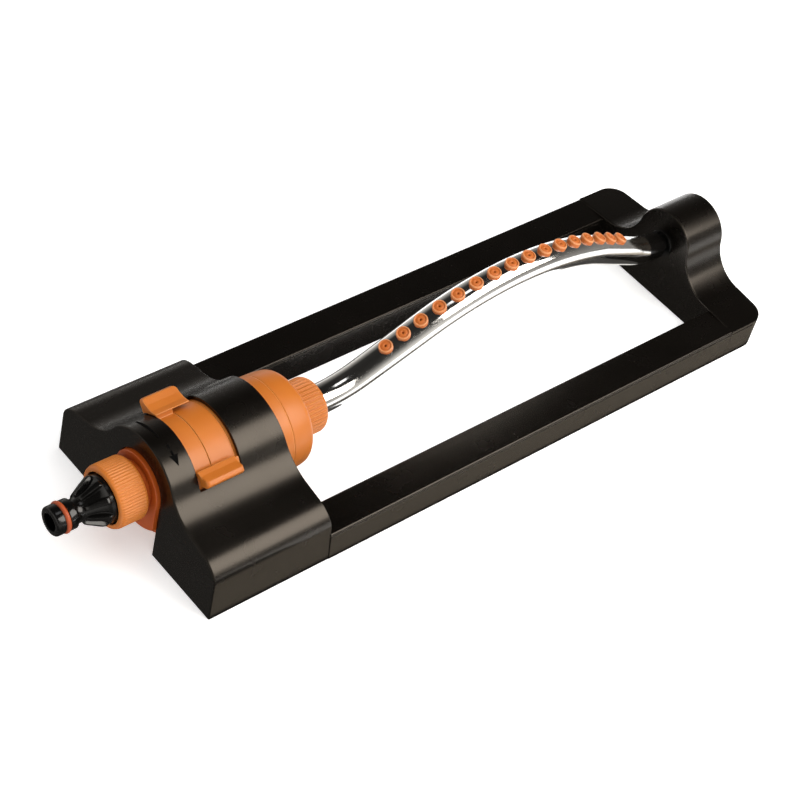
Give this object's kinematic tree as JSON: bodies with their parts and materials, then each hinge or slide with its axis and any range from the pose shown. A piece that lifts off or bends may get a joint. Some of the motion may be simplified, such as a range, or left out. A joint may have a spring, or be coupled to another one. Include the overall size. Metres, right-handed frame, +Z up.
{
  "type": "oscillating lawn sprinkler",
  "caption": "Oscillating lawn sprinkler: water motor in a drum, arched spray tube with a row of nozzles, two runners and an end support.",
  "frame": {"origin": "on the ground, under the middle of the overall length and width", "axes": "+X from the hose inlet towards the end support, +Y towards the far runner, +Z up"},
  "size_m": [0.464, 0.135, 0.0891],
  "materials": {
    "black_shell": "moulded gloss black",
    "black_fitting": "satin black",
    "orange_plastic": "satin orange",
    "orange_rubber": "matt orange",
    "black_rubber": "matt black",
    "inner_plastic": "natural acetal",
    "screw_steel": "bright",
    "bright_tube": "polished and bright plated"
  },
  "bodies": {
    "base": {"inlet_housing": "black_shell", "near_runner": "black_shell", "back_runner": "black_shell", "end_support": "black_shell", "runner_screws": "screw_steel", "spindle_bracket": "orange_plastic", "inlet_spindle": "orange_plastic", "fixed_gear": "inner_plastic", "quick_connector": "black_fitting", "connector_o_ring": "orange_rubber", "inlet_washer": "black_rubber", "inlet_filter": "inner_plastic", "pivot_bush": "black_fitting"},
    "union_nut": {"inlet_nut": "orange_plastic"},
    "near_ring": {"near_range_ring": "orange_plastic"},
    "far_ring": {"far_range_ring": "orange_plastic"},
    "spray_arm": {"front_cover": "orange_plastic", "spindle_seal": "black_rubber", "motor_case": "orange_plastic", "rear_cap": "orange_plastic", "gear_plate": "inner_plastic", "jet_plate": "inner_plastic", "rear_plate": "inner_plastic", "planet_pin": "screw_steel", "lever_seal": "black_rubber", "toggle_spring": "screw_steel", "tube_nut": "orange_plastic", "tube_seal": "black_rubber", "spray_tube": "bright_tube", "nozzles": "orange_rubber", "tube_end_plug": "black_fitting"},
    "planet": {"planet_gear": "inner_plastic"},
    "turbine": {"turbine_shaft": "screw_steel", "turbine_pinion": "inner_plastic", "turbine_wheel": "inner_plastic"},
    "diverter": {"diverter_rod": "screw_steel", "trip_lever": "inner_plastic", "diverter_flap": "inner_plastic"}
  },
  "joints": [
    {"name": "tube_swing", "type": "hinge", "parent": "base", "child": "spray_arm", "pos_m": [0, 0, 0.038], "axis": [1, 0, 0], "range_deg": [-51, 39]},
    {"name": "nut_turn", "type": "hinge", "parent": "base", "child": "union_nut", "pos_m": [-0.19, 0, 0.038], "axis": [1, 0, 0], "continuous": true},
    {"name": "near_ring_turn", "type": "hinge", "parent": "base", "child": "near_ring", "pos_m": [-0.158, 0, 0.038], "axis": [1, 0, 0], "range_deg": [0, 30]},
    {"name": "far_ring_turn", "type": "hinge", "parent": "base", "child": "far_ring", "pos_m": [-0.145, 0, 0.038], "axis": [1, 0, 0], "range_deg": [-35, 0]},
    {"name": "planet_spin", "type": "hinge", "parent": "spray_arm", "child": "planet", "pos_m": [-0.1355, 0.014, 0.038], "axis": [1, 0, 0], "range_deg": [-130, 130]},
    {"name": "turbine_spin", "type": "hinge", "parent": "spray_arm", "child": "turbine", "pos_m": [-0.12, 0, 0.038], "axis": [1, 0, 0], "range_deg": [-372, 372]},
    {"name": "diverter_flip", "type": "hinge", "parent": "spray_arm", "child": "diverter", "pos_m": [-0.15, 0.00188, 0.0201], "axis": [1, 0, 0], "range_deg": [-12, 12]}
  ],
  "couplings": [
    {"joint": "planet_spin", "follows": "tube_swing", "ratio": 2.5},
    {"joint": "turbine_spin", "follows": "tube_swing", "ratio": -7.2222}
  ]
}
